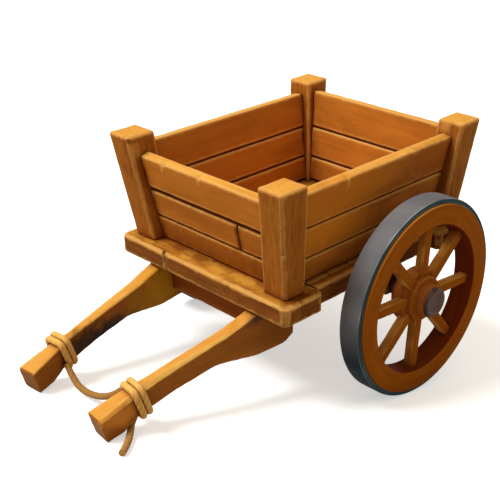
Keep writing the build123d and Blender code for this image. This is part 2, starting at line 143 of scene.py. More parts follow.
@dataclass
class Graph:
    """The node tree of a material or of the world."""

    tree: bpy.types.NodeTree

    def plug(self, node: bpy.types.Node, inputs: Mapping[Any, Any] | Sequence[Any]) -> None:
        """Sets a node's inputs.

        Args:
            node: The node.
            inputs: The values by socket name or number, or in the sockets' order. An output
                socket is linked, and a text is a colour.
        """
        for key, value in (inputs.items() if isinstance(inputs, Mapping) else enumerate(inputs)):
            if isinstance(value, Socket):
                self.tree.links.new(value, node.inputs[key])
            else:
                plain = hex_to_linear(value) if isinstance(value, str) else value
                node.inputs[key].default_value = plain

    def add(self, kind: str, inputs: Mapping[Any, Any] | Sequence[Any] = (), out: int | str = 0,
            stops: Iterable[tuple[float, str]] = (), **settings: Any) -> Socket:
        """Adds a node with its settings, socket values and links.

        Args:
            kind: The node's type name, after its "ShaderNode".
            inputs: What goes into its sockets, as plug takes it.
            out: The output that is wanted.
            stops: Position and colour of each stop, for a colour ramp.
            settings: The node's own properties.

        Returns:
            The output's socket.
        """
        node = self.tree.nodes.new(f"ShaderNode{kind}")
        for name, value in settings.items():
            setattr(node, name, value)
        self.plug(node, inputs)
        for number, (position, code) in enumerate(stops):
            elements = node.color_ramp.elements
            element = elements[number] if number < 2 else elements.new(position)
            element.position = position
            element.color = hex_to_linear(code)
        return node.outputs[out]

    def grained(self, place: Socket, size: Pair, detail: float = 3.0,
                roughness: float = 0.5, distortion: float = 0.0) -> Socket:
        """Draws a noise that is stretched along the first number of its place.

        Args:
            place: Where it is read, in metres.
            size: Length and width of its specks, in millimetres.
            detail: The noise's own setting, as roughness and distortion are.

        Returns:
            A value about 0.5.
        """
        length, width = (1 / (part * MM) for part in size)
        scaled = self.add("Mapping", {"Vector": place, "Scale": (length, width, width)})
        return self.add("TexNoise", {
            "Vector": scaled, "Scale": 1.0, "Detail": detail, "Roughness": roughness,
            "Distortion": distortion}, "Fac")

    def layered(self, colour: Socket, *layers: tuple[Socket, Socket | str]) -> Socket:
        """Lays layers, each a share and a colour, over a colour, and returns what is seen."""
        for share, over in layers:
            colour = self.add("Mix", {0: share, 6: colour, 7: over}, 2, data_type="RGBA")
        return colour

    def summed(self, base: float | Socket, *terms: tuple[Socket, float]) -> Socket:
        """Adds terms, each a pattern and what it is multiplied by, to a base."""
        for pattern, share in terms:
            base = self.add("Math", (pattern, share, base), operation="MULTIPLY_ADD")
        return base

    def rubbed(self, pattern: Socket, size: float, reach: Pair, share: float,
               ragged: float = 3.0) -> Socket:
        """Draws the rubbed line along the corners, wear and a painted highlight, which comes and goes with a
        pattern.

        Args:
            pattern: What makes it ragged.
            size: The line's width, mm.
            reach: Where the line ends and where it is full, in its widths.
            share: How strong it is at the most.
            ragged: How far the pattern moves it, in its widths.

        Returns:
            How far each place is rubbed and highlighted.
        """
        edge = self.add("Attribute", (), "Fac", attribute_name="edge")
        moved = self.summed(ragged / 2 * size, (pattern, -ragged * size))
        gap = self.add("Math", (edge, moved), operation="ADD")
        return self.add("MapRange", (gap, size * reach[0], size * reach[1], 0.0, share),
                        interpolation_type="SMOOTHSTEP")

    def sheltered(self, size: float, reach: Pair, share: float,
                  samples: int = 6) -> Socket:
        """Finds the nooks where light is scarce, to lay painted shade there.

        Args:
            size: How far around a place is looked, mm.
            reach: How open a place is where the painted shade is full and where it ends.
            share: How strong it is at the most.
            samples: How many looks are taken.

        Returns:
            How much painted shade lies at each place.
        """
        open_share = self.add("AmbientOcclusion", {"Distance": size * MM}, "AO", samples=samples)
        return self.add("MapRange", (open_share, *reach, share, 0.0))


@dataclass(frozen=True)
class Finish:
    """A surface with a look of its own."""

    name: str

    def material(self) -> bpy.types.Material:
        """Builds the finish as a node material."""
        material = bpy.data.materials.new(self.name)
        material.use_nodes = True
        graph = Graph(material.node_tree)
        graph.plug(graph.tree.nodes["Principled BSDF"], self.shading(graph))
        return material

    def shading(self, graph: Graph) -> dict[str, Any]:
        """Makes what goes into the shader's sockets; each kind of finish has its own way."""
        raise NotImplementedError


@dataclass(frozen=True)
class WoodFinish(Finish):
    """Oiled softwood, hewn and sawn by hand, rubbed pale where hands and loads reach it.

    The grain shows as long soft streaks with darker lines, broad patches of tone lie over it,
    faces that look up are painted lighter as light from above, corners are rubbed to a ragged
    pale line that is also a painted highlight, and painted shade lies in hollows and crevices.
    """

    shade: Tones                        # dark streak, mean tone, pale streak on upright faces
    sunned: Tones                       # the same on faces that look up, painted lighter as light from above
    worn: str                           # corners and chips: rubbed wear and a painted highlight
    crevice: str = "#702e08"            # painted shade between the timbers
    streak_mm: Pair = (320.0, 15.0)
    patch_mm: Pair = (170.0, 75.0)
    mottle_mm: Pair = (55.0, 26.0)
    fibre_mm: Pair = (60.0, 4.0)     # coarser than real ones, so that they show
    streak_share: float = 0.5
    patch_share: float = 0.4
    mottle_share: float = 0.0
    tone_places: Point = (0.39, 0.5, 0.61)
    worn_mm: float = 6.0
    worn_share: float = 0.75
    crevice_mm: float = 45.0
    crevice_share: float = 0.85
    hollow: str = "#4c2208"             # broad painted shade where a timber lies in a corner
    hollow_mm: float = 260.0
    hollow_share: float = 0.6
    roughness: float = 0.66
    gloss: float = 0.04

    def shading(self, graph: Graph) -> dict[str, Any]:
        """Makes the streaks, the painted light on upper faces, the wear with its painted highlight, the marks and
        the painted shade.

        Args:
            graph: The material's nodes.

        Returns:
            What goes into the shader's sockets.
        """
        grain = graph.add("Attribute", (), "Vector", attribute_name="grain")
        streaks = graph.grained(grain, self.streak_mm, 4.0, 0.6, 0.15)
        patches = graph.grained(grain, self.patch_mm, 2.0, 0.6, 0.4)
        mottles = graph.grained(grain, self.mottle_mm, 3.0, 0.6, 1.2)
        fibres = graph.grained(grain, self.fibre_mm, 3.0, 0.6, 0.2)
        shares = (self.patch_share, self.streak_share, self.mottle_share)
        tone = graph.summed(0.5 - sum(shares) / 2, *zip((patches, streaks, mottles), shares))
        # Upright faces take the first tones, and faces that look up the lighter ones: painted light from above.
        upright, upward = (
            graph.add("ValToRGB", (tone,), stops=zip(self.tone_places, tones))
            for tones in (self.shade, self.sunned))
        facing = graph.add("NewGeometry", (), "Normal")
        height = graph.add("SeparateXYZ", (facing,), "Z")
        painted_top_light = graph.add("MapRange", (height, 0.2, 0.8), interpolation_type="SMOOTHSTEP")
        # The rubbed corners are also a painted highlight, weaker where faces look down.
        rub = graph.rubbed(mottles, self.worn_mm, (1.3, 0.2), self.worn_share)
        highlight_facing_up = graph.add("MapRange", (height, -0.5, 0.25, 0.35, 1.0))
        rub = graph.add("Math", (rub, highlight_facing_up), operation="MULTIPLY")
        # The marks are patches of the wood's own tones and of painted light and shade.
        marks, marked = (
            graph.add("Attribute", (), out, attribute_name="paint") for out in ("Color", "Alpha"))
        # Broad painted shade lies in the hollows and darker painted shade in the crevices.
        colour = graph.layered(
            upright, (painted_top_light, upward), (rub, self.worn),
            (graph.sheltered(self.hollow_mm, (0.15, 0.85), self.hollow_share), self.hollow),
            (marked, marks),
            (graph.sheltered(self.crevice_mm, (0.25, 0.8), self.crevice_share), self.crevice))
        spread = (self.roughness - 0.1, self.roughness + 0.1)
        relief = graph.summed(streaks, (fibres, 0.35))
        return {"Base Color": colour, "IOR": 1.45, "Specular IOR Level": self.gloss,
                "Roughness": graph.add("MapRange", (fibres, 0.3, 0.7, *spread)),
                "Normal": graph.add("Bump", {"Height": relief, "Strength": 0.55,
                                             "Distance": 1.6 * MM})}


@dataclass(frozen=True)
class IronFinish(Finish):
    """Wrought iron, dulled by weather: no bright metal shows but at the rubbed corners, whose pale line is also a
    painted highlight, and faces that look down carry painted shade.
    """

    tones: Tones                # dark, mean, pale
    flank: str                  # faces square to the axle
    rub: str                    # corners: rubbed wear and a painted highlight
    under: str                  # faces that look down: painted shade
    rubbed_mm: float = 4.0
    patch_mm: float = 60.0
    pit_mm: float = 5.0
    tone_places: Point = (0.36, 0.5, 0.64)
    roughness: float = 0.5
    metallic: float = 0.35

    def shading(self, graph: Graph) -> dict[str, Any]:
        """Makes the patches of rust and dust, the painted shade underneath and the rubbed corners with their
        painted highlight.

        Args:
            graph: The material's nodes.

        Returns:
            What goes into the shader's sockets.
        """
        place = graph.add("TexCoord", (), "Object")
        patches = graph.grained(place, (self.patch_mm, self.patch_mm), roughness=0.55)
        pits = graph.grained(place, (self.pit_mm, self.pit_mm))
        colour = graph.add("ValToRGB", (patches,), stops=zip(self.tone_places, self.tones))
        facing = graph.add("NewGeometry", (), "Normal")
        sideways, height = (graph.add("SeparateXYZ", (facing,), out) for out in "XZ")
        sideways = graph.add("Math", (sideways,), operation="ABSOLUTE")
        # Faces that look down get painted shade.
        down, flank = (
            graph.add("MapRange", (value, *reach), interpolation_type="SMOOTHSTEP")
            for value, reach in ((height, (0.05, -0.55)), (sideways, (0.6, 0.95))))
        hidden = graph.add("Math", (down, flank), operation="MAXIMUM")
        # The rubbed corners are also a painted highlight, faded where faces look down or sideways.
        rub = graph.rubbed(patches, self.rubbed_mm, (1.2, 0.3), 0.9)
        rub = graph.add("Math", (rub, graph.summed(1.0, (hidden, -0.8))), operation="MULTIPLY")
        spread = (self.roughness - 0.08, self.roughness + 0.12)
        relief = graph.summed(patches, (pits, 0.3))
        return {"Base Color": graph.layered(colour, (down, self.under), (flank, self.flank),
                                            (rub, self.rub)),
                "Metallic": self.metallic, "Specular IOR Level": 0.06,
                "Roughness": graph.add("MapRange", (pits, 0.3, 0.7, *spread)),
                "Normal": graph.add("Bump", {"Height": relief, "Strength": 0.3,
                                             "Distance": 1.0 * MM})}


@dataclass(frozen=True)
class RopeFinish(Finish):
    """Three-strand laid natural fibre: fine fibres run along the strands, and the grooves carry painted shade."""

    groove: str = "#8c4a12"
    mean: str = "#da8c34"
    pale: str = "#fac668"
    slack: str = "#8a5c24"              # free lengths, darker than the turns
    fibre_mm: Pair = (30.0, 2.5)
    nook_mm: float = 25.0
    roughness: float = 0.8

    def shading(self, graph: Graph) -> dict[str, Any]:
        """Makes the fibres, the pale crowns, the darker free lengths, painted light on top and painted shade in
        the grooves.

        Args:
            graph: The material's nodes.

        Returns:
            What goes into the shader's sockets.
        """
        lay = graph.add("Attribute", (), "Vector", attribute_name="lay")
        fibres = graph.grained(lay, self.fibre_mm)
        crown, loose = (
            graph.add("Attribute", (), "Fac", attribute_name=name) for name in ("crown", "loose"))
        tone = graph.summed(0.38, (fibres, 0.5), (crown, 0.3))
        tones = zip((0.0, 0.5, 1.0), (self.groove, self.mean, self.pale))
        colour = graph.add("ValToRGB", (tone,), stops=tones)
        facing = graph.add("NewGeometry", (), "Normal")
        height = graph.add("SeparateXYZ", (facing,), "Z")
        # Upper faces of the tight turns take painted light.
        painted_top_light = graph.add("MapRange", (height, -0.1, 0.8, 0.0, 0.75))
        held = graph.add("Math", (1.0, loose), operation="SUBTRACT")
        painted_top_light, free = (graph.add("Math", pair, operation="MULTIPLY")
                     for pair in ((painted_top_light, held), (loose, 0.8)))
        # Painted shade lies in the grooves between the strands.
        colour = graph.layered(
            colour, (painted_top_light, self.pale), (free, self.slack),
            (graph.sheltered(self.nook_mm, (0.2, 0.75), 0.8, samples=8), self.groove))
        return {"Base Color": colour, "Roughness": self.roughness,
                "Specular IOR Level": 0.1, "Sheen Weight": 0.15,
                "Normal": graph.add("Bump", {"Height": fibres, "Strength": 0.6,
                                             "Distance": 0.8 * MM})}


FINISHES: dict[str, Finish] = {
    "post_wood": WoodFinish(
        "oiled larch, hewn posts", ("#8c4c16", "#a86220", "#b46e28"),
        ("#d8953a", "#e8a444", "#eeac50"), "#e8a858", streak_mm=(420.0, 12.0), patch_share=0.2,
        worn_mm=8.0, worn_share=0.7),
    "board_wood": WoodFinish(
        "oiled larch, sawn boards", ("#b66c24", "#c47428", "#cc7c2c"),
        ("#dc963c", "#eaa444", "#f0b458"), "#eab060", streak_mm=(420.0, 30.0), worn_mm=7.0),
    "frame_wood": WoodFinish(
        "weathered larch, sills and bed", ("#743f18", "#824a1c", "#905622"),
        ("#a86420", "#c88830", "#dca040"), "#e8b060", mottle_share=0.2, mottle_mm=(75.0, 40.0),
        worn_mm=8.0, hollow_share=0.25),
    "shaft_wood": WoodFinish(
        "hand-polished ash shafts", ("#98561a", "#a86220", "#b46c28"),
        ("#dc963c", "#e8a448", "#eeb056"), "#f2c060", streak_share=0.35, patch_share=0.3,
        roughness=0.55, gloss=0.06, hollow_share=0.3),
    "wheel_wood": WoodFinish(
        "dark oiled oak wheels", ("#9a5010", "#a2560c", "#aa5e14"),
        ("#b06a22", "#c07a2c", "#cc8838"), "#b46c24", "#5a200c", streak_mm=(260.0, 22.0),
        worn_mm=3.0, worn_share=0.35, hollow="#4a1808", hollow_share=0.3, gloss=0.02),
    "tyre_iron": IronFinish(
        "weathered iron tyre", ("#68666a", "#727074", "#7a787a"), "#28464e", "#b4bab0", "#04141e",
        rubbed_mm=3.6, patch_mm=220.0, roughness=0.6, metallic=0.0),
    "cap_iron": IronFinish(
        "iron hub cap", ("#54403c", "#604a44", "#745a52"), "#5e4842", "#947a70", "#40302c",
        patch_mm=30.0, metallic=0.0),
    "axle_iron": IronFinish(
        "forged iron axle", ("#3a3230", "#4a403c", "#5a4e48"), "#463c38", "#6a5e58", "#2e2826"),
    "rope": RopeFinish("laid hemp rope"),
}


@dataclass(frozen=True)
class Nick:
    """A chip, dent or crack cut into a timber, in level millimetres."""

    place: Point                # its deepest point
    reach: Point                # how far it spreads along each axis
    push: Point                 # where its deepest point moves to, from there


@dataclass(frozen=True)
class Touch:
    """A soft patch of another tone, in level millimetres: rubbed or bruised wood, a crack, painted light and
    painted shade.
    """

    place: Point                # its middle
    reach: Point                # how far it spreads along each axis
    colour: str
    strength: float
    crisp: float = 1.6          # how sharply it ends


def spread_from(mark: Nick | Touch, point: Vector) -> float:
    """How far a point in metres is from a mark's middle: 1 at the mark's end."""
    return Vector([(point[i] / MM - mark.place[i]) / mark.reach[i] for i in range(3)]).length


def add_object(name: str, data: bpy.types.ID) -> bpy.types.Object:
    """Puts an object with that data into the scene."""
    made = bpy.data.objects.new(name, data)
    bpy.context.scene.collection.objects.link(made)
    return made


def add_mesh(name: str, bm: Mesh) -> bpy.types.Mesh:
    """Stores a mesh under a name and frees it."""
    mesh = bpy.data.meshes.new(name)
    bm.to_mesh(mesh)
    bm.free()
    return mesh


def sharp_edges(bm: Mesh, angle: float = 25.0) -> list[Edge]:
    """Lists the edges of a merged mesh whose faces meet at more than an angle in degrees."""
    limit = math.radians(angle)
    return [e for e in bm.edges if len(e.link_faces) == 2 and e.calc_face_angle() > limit]


def ends_of(edges: Iterable[Edge]) -> np.ndarray:
    """Lists the end points of edges, for the wear along them."""
    return np.array([[v.co[:] for v in e.verts] for e in edges])


def round_off(bm: Mesh, corners: Sequence[Any], size: float, segments: int,
              affect: str = "EDGES") -> None:
    """Rounds edges of a mesh, or VERTICES of an outline, by a size in millimetres."""
    bmesh.ops.bevel(bm, geom=corners, offset=size * MM, offset_type="OFFSET", segments=segments,
                    profile=0.5, affect=affect, material=-1, clamp_overlap=affect == "EDGES")


def slice_mesh(bm: Mesh, axis: int, places: Iterable[float], sliver: float = 0.9) -> None:
    """Cuts new rows of vertices into a mesh, none so close to a vertex that a sliver is left.

    Args:
        bm: The mesh.
        axis: The axis that the cuts are square to.
        places: Where each cut is along it, in metres.
        sliver: The least distance from a vertex, mm.
    """
    normal = Vector((0, 0, 0))
    normal[axis] = 1
    taken = np.array(sorted({round(v.co[axis], 5) for v in bm.verts}))
    for place in places:
        if np.abs(taken - place).min() >= sliver * MM:
            bmesh.ops.bisect_plane(bm, geom=bm.verts[:] + bm.edges[:] + bm.faces[:],
                                   dist=0.01 * MM, plane_co=normal * place, plane_no=normal)


def extrude(bm: Mesh, edges: Sequence[Edge]) -> tuple[list[Vert], list[Edge]]:
    """Extrudes a ring of edges, and lists the new ring's vertices and edges."""
    grown = bmesh.ops.extrude_edge_only(bm, edges=edges)["geom"]
    return [g for g in grown if isinstance(g, Vert)], [g for g in grown if isinstance(g, Edge)]


def set_edge(bm: Mesh, segments: np.ndarray) -> np.ndarray:
    """Stores how far each vertex is from the nearest sharp edge, for the wear.

    Args:
        bm: The mesh.
        segments: One pair of end points for each edge, as they were before rounding.

    Returns:
        The distances in millimetres.
    """
    layer = bm.verts.layers.float.new("edge")
    points = np.array([v.co[:] for v in bm.verts])
    best = np.full(len(points), 1.0)
    for first, last in segments:
        run = last - first
        share = np.clip((points - first) @ run / max(float(run @ run), 1e-12), 0, 1)
        best = np.minimum(best, np.linalg.norm(points - first - share[:, None] * run, axis=1))
    for vert, distance in zip(bm.verts, best / MM):
        vert[layer] = distance
    return best / MM


def weather(bm: Mesh, segments: np.ndarray, seed: int, wander: float, wear: float,
            tight: bool = False) -> None:
    """Gives faces a slight hewn wander, wears corners back and stores the wear's distances.

    Args:
        bm: The mesh, in metres.
        segments: Its sharp edges before they were rounded.
        seed: Moves the pattern, so that no two timbers are alike.
        wander: The most that a face sinks, in millimetres.
        wear: The most that a corner is worn back further, in millimetres.
        tight: Whether its upper and lower faces stay where they are, against a neighbour's.
    """
    bm.normal_update()
    distances = set_edge(bm, segments)
    shift = Vector((seed * 3.17, seed * 1.31, seed * 2.03))
    for vert, distance in zip(bm.verts, distances):
        sink = wander * (0.5 + 0.5 * noise.noise(vert.co * WANDER_PITCH + shift))
        if tight:
            sink *= 1 - min(1.0, abs(vert.normal.z) * 1.2)
        near = math.exp(-distance / BITE_REACH)
        bite = wear * near * max(0.0, noise.noise(vert.co * BITE_PITCH + shift) + 0.15)
        vert.co -= vert.normal * (sink + bite) * MM


def weather_round(bm: Mesh, beyond: float, pitch: float, depth: float) -> None:
    """Makes a mesh about the axle slightly uneven.

    Args:
        bm: The mesh.
        beyond: It starts at this radius, mm.
        pitch: Waves in a metre.
        depth: The most that it sinks, mm.
    """
    for vert in bm.verts:
        flat = Vector((0, vert.co.y, vert.co.z))
        if flat.length > beyond * MM:
            sink = (0.5 + 0.5 * noise.noise(vert.co * pitch)) * depth
            vert.co -= flat.normalized() * sink * MM


def set_grain(bm: Mesh, along: Along, seed: int) -> None:
    """Stores each vertex's place in the timber, the first number running along the grain.

    Args:
        bm: The mesh.
        along: The level axis that the grain follows.
        seed: Moves the pattern from timber to timber.
    """
    layer = bm.verts.layers.float_vector.new("grain")
    order = [along.value] + [axis for axis in range(3) if axis != along.value]
    offset = Vector((seed * 1.7, seed * 0.61, seed * 0.37))
    for vert in bm.verts:
        vert[layer] = Vector([vert.co[axis] for axis in order]) + offset


def set_paint(bm: Mesh, touches: Sequence[Touch]) -> None:
    """Stores the soft patches of other tones, painted light and shade among them.

    Args:
        bm: The mesh.
        touches: The patches, later ones over earlier ones.
    """
    layer = bm.verts.layers.float_color.new("paint")
    for vert in bm.verts:
        colour = Vector((0.0, 0.0, 0.0))
        weight = 0.0
        for touch in touches:
            gap = spread_from(touch, vert.co) + PAINT_RAGGED * noise.noise(vert.co * PAINT_PITCH)
            share = touch.strength * min(1.0, max(0.0, touch.crisp * (1 - gap)))
            if share > 0:
                kept = weight * (1 - share)
                new = Vector(hex_to_linear(touch.colour)[:3])
                colour = (new * share + colour * kept) / (share + kept)
                weight = share + kept
        vert[layer] = (*colour, weight)


@dataclass
class Dresser:
    """Turns finished meshes into pieces that ride, replace their solid and carry its finish."""

    materials: dict[str, bpy.types.Material] = field(init=False)

    def __post_init__(self) -> None:
        """Makes the materials, one for each slot of the record, and gives them to the solids."""
        self.materials = {slot: finish.material() for slot, finish in FINISHES.items()}
        for node, slot in SLOTS.items():
            solid = frame["nodes"][node]
            solid.data.materials.clear()
            solid.data.materials.append(self.materials[slot])

    def piece(self, bm: Mesh, node: str, body: Body = Body.CART,
              crease: float = 40.0) -> bpy.types.Object:
        """Makes the piece from a level mesh in metres.

        Args:
            bm: The mesh, freed afterwards.
            node: The solid that it stands for.
            body: The body that it rides on.
            crease: Edges sharper than this angle in degrees stay crisp.

        Returns:
            The new object.
        """
        limit = math.radians(crease)
        for face in bm.faces:
            face.smooth = True
        for edge in bm.edges:
            edge.smooth = len(edge.link_faces) == 2 and edge.calc_face_angle(0.0) < limit
        bm.transform(PARKED)
        name, slot = f"dressed_{node}", SLOTS[node]
        made = add_object(name, add_mesh(name, bm))
        made.data.materials.append(self.materials[slot])
        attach(made, body.value)
        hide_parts(node)
        log.info("%s: %d faces, for %s", name, len(made.data.polygons), node)
        return made

    def level_copy(self, node: str) -> Mesh:
        """Copies a solid into the level frame, merged and with its flat faces whole.

        Args:
            node: The solid's name.

        Returns:
            The copy.
        """
        bm = bmesh.new()
        bm.from_mesh(frame["nodes"][node].data)
        bm.transform(PARKED.inverted())
        bmesh.ops.remove_doubles(bm, verts=bm.verts, dist=0.02 * MM)
        bmesh.ops.dissolve_limit(bm, angle_limit=math.radians(1.0), verts=bm.verts,
                                 edges=bm.edges)
        bmesh.ops.recalc_face_normals(bm, faces=bm.faces)
        return bm


@dataclass
class Timber:
    """A straight timber, dressed from its solid."""

    dresser: Dresser
    node: str
    along: Along
    seed: int
    arris: float = 2.0              # rounding of its corners, mm
    wander: float = 1.4
    wear: float = 2.2
    step: float = 15.0              # between the rows of vertices
    tight: bool = False             # lies close against its neighbours above and below
    foot_facing: float = -0.55      # its foot is where its faces look down further than this
    foot_drop: float = 2.6          # how far the foot closes the gap, mm
    foot_colour: str = "#963e10"    # painted shade along the foot, at the joint with the board below
    nick_cuts: tuple[float, ...] = (-0.9, -0.45, 0.0, 0.45, 0.9)    # in the nick's reaches

    def build(self) -> None:
        """Builds and dresses the timber."""
        nicks = NICKS.get(self.node, ())
        bm = self.dresser.level_copy(self.node)
        edges = sharp_edges(bm)
        segments = ends_of(edges)
        round_off(bm, edges, self.arris, 2)
        for axis in range(3):
            low, high = (pick(v.co[axis] for v in bm.verts) for pick in (min, max))
            count = max(1, round((high - low) / (self.step * MM)))
            places = {round(low + (high - low) * (i + 0.5) / count, 5) for i in range(count)}
            places |= {round((nick.place[axis] + part * nick.reach[axis]) * MM, 5)
                       for nick in nicks for part in self.nick_cuts}
            slice_mesh(bm, axis, sorted(p for p in places if low < p < high))
        bmesh.ops.remove_doubles(bm, verts=bm.verts, dist=0.25 * MM)
        bm.normal_update()
        foot = bm.verts.layers.int.new("foot")
        for vert in bm.verts:
            vert[foot] = int(self.tight and vert.normal.z < self.foot_facing)
        weather(bm, segments, self.seed, self.wander, self.wear, self.tight)
        set_grain(bm, self.along, self.seed)
        set_paint(bm, TOUCHES.get(self.node, ()))
        # A new layer moves the older ones, so they are looked up again.
        foot, paint = bm.verts.layers.int["foot"], bm.verts.layers.float_color["paint"]
        # Along its foot a tight board drops a little and takes painted shade.
        for vert in (v for v in bm.verts if v[foot]):
            vert[paint] = hex_to_linear(self.foot_colour, 0.9)
            vert.co.z -= self.foot_drop * MM
        for nick in nicks:
            for vert in bm.verts:
                near = 1 - spread_from(nick, vert.co)
                if near > 0:
                    vert.co += Vector(nick.push) * near * MM
        self.dresser.piece(bm, self.node)


BOARD = {"tight": True, "arris": 1.6}
SILL = {"arris": 2.5, "wander": 2.2, "step": 10.0}
TIMBERS: dict[str, tuple[Along, dict[str, Any]]] = {
    # how a node's name starts, the way of its grain, how it is worked
    "axle_bed": (Along.ACROSS, {}),
    "centre_sill": (Along.LENGTHWAYS, SILL),
    "floor_board": (Along.ACROSS, {"step": 30.0}),
    "front_board": (Along.ACROSS, BOARD),
    "front_crossbeam": (Along.ACROSS, {}),
    "front_sill": (Along.ACROSS, SILL),
    "left_board": (Along.LENGTHWAYS, BOARD),
    "post": (Along.UPRIGHT, {"arris": 3.0, "wander": 2.0}),
    "rear_board": (Along.ACROSS, BOARD),
    "rear_sill": (Along.ACROSS, SILL),
    "right_board": (Along.LENGTHWAYS, BOARD),
    "side_sill": (Along.LENGTHWAYS, {}),
}


@dataclass
class Bodywork:
    """The box and its bed: sills, floor, corner posts and walls of boards."""

    dresser: Dresser

    def build(self) -> None:
        """Builds every timber, in the order of their names."""
        names = [(name, start) for name in sorted(frame["nodes"]) for start in TIMBERS
                 if name.startswith(start)]
        for seed, (name, start) in enumerate(names):
            along, work = TIMBERS[start]
            Timber(self.dresser, name, along, seed, **work).build()


